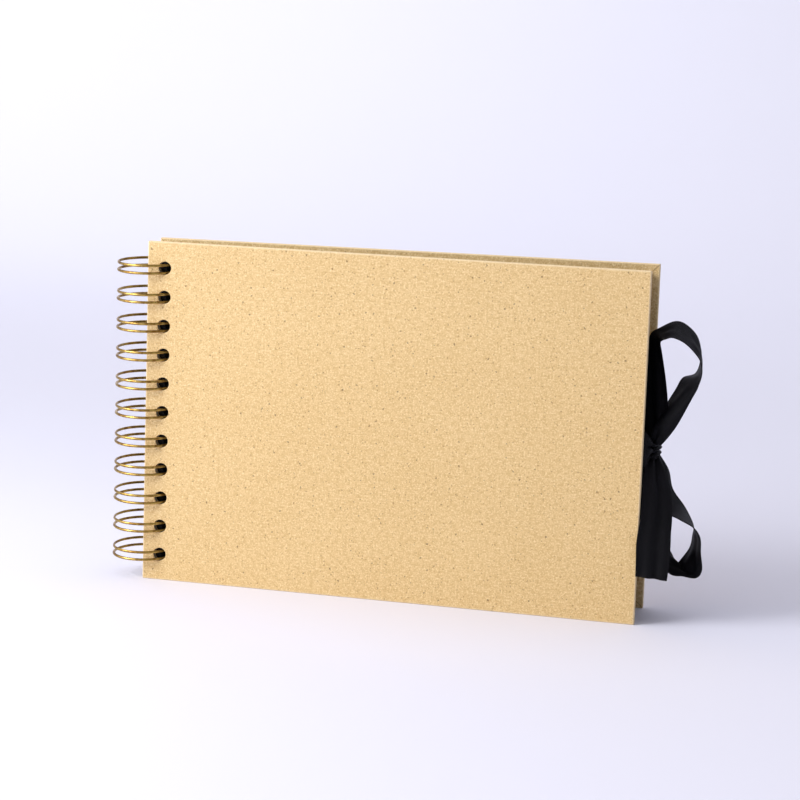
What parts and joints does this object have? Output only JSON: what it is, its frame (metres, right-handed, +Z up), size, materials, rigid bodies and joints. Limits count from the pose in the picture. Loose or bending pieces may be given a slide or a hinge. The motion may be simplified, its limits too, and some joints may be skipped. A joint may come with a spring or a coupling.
{
  "type": "scrapbook album",
  "caption": "Landscape scrapbook album with kraft-covered boards, black card leaves on a twin-loop wire comb, and a ribbon bow at the fore edge.",
  "frame": {"origin": "centre of the album's overall box at the level it stands on", "axes": "+Z up along the spine, +X from the wire loops to the fore edge, -Y out of the front cover"},
  "size_m": [0.2626, 0.0351, 0.15],
  "materials": {
    "kraft": "unbleached kraft paper, matt, finely flecked",
    "lining": "unbleached kraft paper, matt",
    "board": "grey board",
    "leaf": "black card, matt",
    "wire": "antique bronze plating, glossy",
    "ribbon": "black satin-faced ribbon"
  },
  "bodies": {
    "back_cover": {"back_board": "board", "back_wrap": "kraft", "back_lining": "lining", "back_ribbon": "ribbon"},
    "binding_wire": {"binding_wire": "wire"},
    "leaf_20": {"leaf_20": "leaf"},
    "leaf_19": {"leaf_19": "leaf"},
    "leaf_18": {"leaf_18": "leaf"},
    "leaf_17": {"leaf_17": "leaf"},
    "leaf_16": {"leaf_16": "leaf"},
    "leaf_15": {"leaf_15": "leaf"},
    "leaf_14": {"leaf_14": "leaf"},
    "leaf_13": {"leaf_13": "leaf"},
    "leaf_12": {"leaf_12": "leaf"},
    "leaf_11": {"leaf_11": "leaf"},
    "leaf_10": {"leaf_10": "leaf"},
    "leaf_09": {"leaf_09": "leaf"},
    "leaf_08": {"leaf_08": "leaf"},
    "leaf_07": {"leaf_07": "leaf"},
    "leaf_06": {"leaf_06": "leaf"},
    "leaf_05": {"leaf_05": "leaf"},
    "leaf_04": {"leaf_04": "leaf"},
    "leaf_03": {"leaf_03": "leaf"},
    "leaf_02": {"leaf_02": "leaf"},
    "leaf_01": {"leaf_01": "leaf"},
    "front_cover": {"front_board": "board", "front_wrap": "kraft", "front_lining": "lining", "front_ribbon": "ribbon", "bow_knot": "ribbon", "bow_upper_loop": "ribbon", "bow_lower_loop": "ribbon", "bow_front_tail": "ribbon", "bow_back_tail": "ribbon"}
  },
  "joints": [
    {"name": "wire_creep", "type": "hinge", "parent": "back_cover", "child": "binding_wire", "pos_m": [-0.11712, 0, 0], "axis": [0, 0, 1], "range_deg": [-15, 40]},
    {"name": "leaf_20_turn", "type": "hinge", "parent": "back_cover", "child": "leaf_20", "pos_m": [-0.11712, 0, 0], "axis": [0, 0, -1], "range_deg": [0, 180]},
    {"name": "leaf_19_turn", "type": "hinge", "parent": "leaf_20", "child": "leaf_19", "pos_m": [-0.11712, 0, 0], "axis": [0, 0, -1], "range_deg": [0, 180]},
    {"name": "leaf_18_turn", "type": "hinge", "parent": "leaf_19", "child": "leaf_18", "pos_m": [-0.11712, 0, 0], "axis": [0, 0, -1], "range_deg": [0, 180]},
    {"name": "leaf_17_turn", "type": "hinge", "parent": "leaf_18", "child": "leaf_17", "pos_m": [-0.11712, 0, 0], "axis": [0, 0, -1], "range_deg": [0, 180]},
    {"name": "leaf_16_turn", "type": "hinge", "parent": "leaf_17", "child": "leaf_16", "pos_m": [-0.11712, 0, 0], "axis": [0, 0, -1], "range_deg": [0, 180]},
    {"name": "leaf_15_turn", "type": "hinge", "parent": "leaf_16", "child": "leaf_15", "pos_m": [-0.11712, 0, 0], "axis": [0, 0, -1], "range_deg": [0, 180]},
    {"name": "leaf_14_turn", "type": "hinge", "parent": "leaf_15", "child": "leaf_14", "pos_m": [-0.11712, 0, 0], "axis": [0, 0, -1], "range_deg": [0, 180]},
    {"name": "leaf_13_turn", "type": "hinge", "parent": "leaf_14", "child": "leaf_13", "pos_m": [-0.11712, 0, 0], "axis": [0, 0, -1], "range_deg": [0, 180]},
    {"name": "leaf_12_turn", "type": "hinge", "parent": "leaf_13", "child": "leaf_12", "pos_m": [-0.11712, 0, 0], "axis": [0, 0, -1], "range_deg": [0, 180]},
    {"name": "leaf_11_turn", "type": "hinge", "parent": "leaf_12", "child": "leaf_11", "pos_m": [-0.11712, 0, 0], "axis": [0, 0, -1], "range_deg": [0, 180]},
    {"name": "leaf_10_turn", "type": "hinge", "parent": "leaf_11", "child": "leaf_10", "pos_m": [-0.11712, 0, 0], "axis": [0, 0, -1], "range_deg": [0, 180]},
    {"name": "leaf_09_turn", "type": "hinge", "parent": "leaf_10", "child": "leaf_09", "pos_m": [-0.11712, 0, 0], "axis": [0, 0, -1], "range_deg": [0, 180]},
    {"name": "leaf_08_turn", "type": "hinge", "parent": "leaf_09", "child": "leaf_08", "pos_m": [-0.11712, 0, 0], "axis": [0, 0, -1], "range_deg": [0, 180]},
    {"name": "leaf_07_turn", "type": "hinge", "parent": "leaf_08", "child": "leaf_07", "pos_m": [-0.11712, 0, 0], "axis": [0, 0, -1], "range_deg": [0, 180]},
    {"name": "leaf_06_turn", "type": "hinge", "parent": "leaf_07", "child": "leaf_06", "pos_m": [-0.11712, 0, 0], "axis": [0, 0, -1], "range_deg": [0, 180]},
    {"name": "leaf_05_turn", "type": "hinge", "parent": "leaf_06", "child": "leaf_05", "pos_m": [-0.11712, 0, 0], "axis": [0, 0, -1], "range_deg": [0, 180]},
    {"name": "leaf_04_turn", "type": "hinge", "parent": "leaf_05", "child": "leaf_04", "pos_m": [-0.11712, 0, 0], "axis": [0, 0, -1], "range_deg": [0, 180]},
    {"name": "leaf_03_turn", "type": "hinge", "parent": "leaf_04", "child": "leaf_03", "pos_m": [-0.11712, 0, 0], "axis": [0, 0, -1], "range_deg": [0, 180]},
    {"name": "leaf_02_turn", "type": "hinge", "parent": "leaf_03", "child": "leaf_02", "pos_m": [-0.11712, 0, 0], "axis": [0, 0, -1], "range_deg": [0, 180]},
    {"name": "leaf_01_turn", "type": "hinge", "parent": "leaf_02", "child": "leaf_01", "pos_m": [-0.11712, 0, 0], "axis": [0, 0, -1], "range_deg": [0, 180]},
    {"name": "front_cover_turn", "type": "hinge", "parent": "leaf_01", "child": "front_cover", "pos_m": [-0.11712, 0, 0], "axis": [0, 0, -1], "range_deg": [0, 180]}
  ]
}
